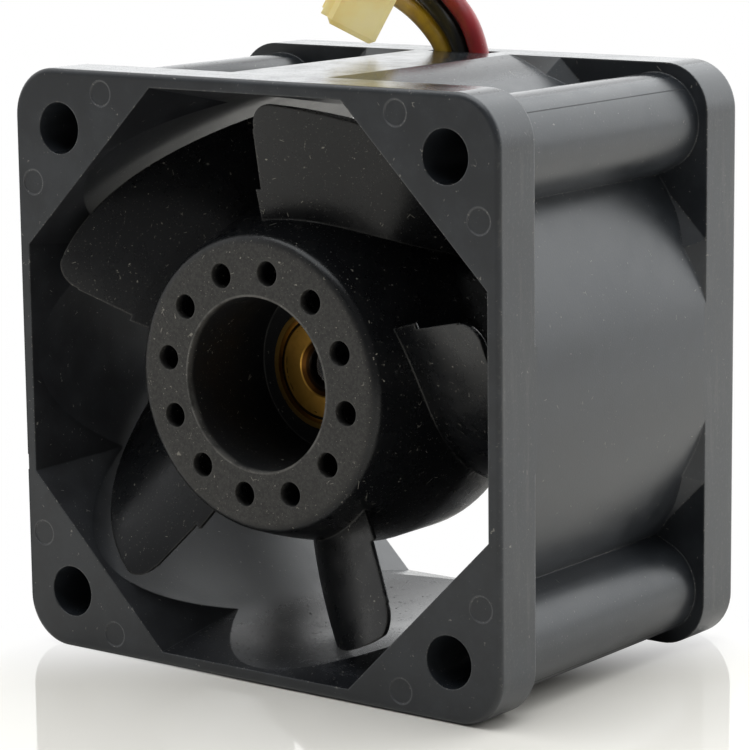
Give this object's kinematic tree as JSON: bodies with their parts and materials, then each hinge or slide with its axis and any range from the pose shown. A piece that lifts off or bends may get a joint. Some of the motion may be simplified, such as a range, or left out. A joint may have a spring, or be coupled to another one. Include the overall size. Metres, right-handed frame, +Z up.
{
  "type": "server fan module",
  "caption": "Square axial fan with a bladed hub turning in an octagonal-mouthed frame, screw holes in the corners and a short lead set with a plug.",
  "frame": {"origin": "middle of the underside of the frame, on the floor it stands on", "axes": "+Z up; -Y is the side the air enters, with the hub's face; +X to the right as seen from that side; the fan turns about Y"},
  "size_m": [0.04, 0.0282, 0.0608],
  "materials": {
    "black_plastic": "semi-matte glass-filled moulding",
    "plated_steel": "plated deep-drawn steel",
    "bonded_magnet": "plastic-bonded ferrite",
    "brass": "turned",
    "ground_steel": "ground",
    "spring_steel": "bright spring steel",
    "lamination_steel": "stacked sheet",
    "white_plastic": "moulded nylon",
    "enamelled_copper": "enamelled wire",
    "tinned_wire": "tinned",
    "board": "green solder mask",
    "chip_black": "moulded package",
    "ceramic": "ceramic",
    "yellow_insulation": "smooth insulation",
    "black_insulation": "smooth insulation",
    "red_insulation": "smooth insulation",
    "natural_nylon": "natural nylon"
  },
  "bodies": {
    "frame": {"bearing_cap": "black_plastic", "bearing_tube": "brass", "black_lead": "black_insulation", "black_lead_inner": "black_insulation", "chip_capacitors": "ceramic", "circuit_board": "board", "connector_housing": "natural_nylon", "connector_terminals": "tinned_wire", "driver_chip": "chip_black", "fan_frame": "black_plastic", "front_bearing_balls": "ground_steel", "front_bearing_outer_race": "ground_steel", "front_bearing_shields": "ground_steel", "front_insulator": "white_plastic", "hall_sensor": "chip_black", "rear_bearing_balls": "ground_steel", "rear_bearing_outer_race": "ground_steel", "rear_bearing_shields": "ground_steel", "rear_insulator": "white_plastic", "red_lead": "red_insulation", "red_lead_inner": "red_insulation", "solder_joints": "tinned_wire", "stator_core": "lamination_steel", "stator_windings": "enamelled_copper", "winding_pins": "tinned_wire", "yellow_lead": "yellow_insulation", "yellow_lead_inner": "yellow_insulation"},
    "rotor": {"front_bearing_inner_race": "ground_steel", "hub_bush": "brass", "impeller": "black_plastic", "preload_spring": "spring_steel", "rear_bearing_inner_race": "ground_steel", "retaining_clip": "spring_steel", "ring_magnet": "bonded_magnet", "rotor_yoke": "plated_steel", "shaft": "ground_steel", "shaft_washer": "spring_steel"}
  },
  "joints": [
    {"name": "rotor_spin", "type": "hinge", "parent": "frame", "child": "rotor", "pos_m": [0, 0, 0.02], "axis": [0, -1, 0], "continuous": true}
  ]
}
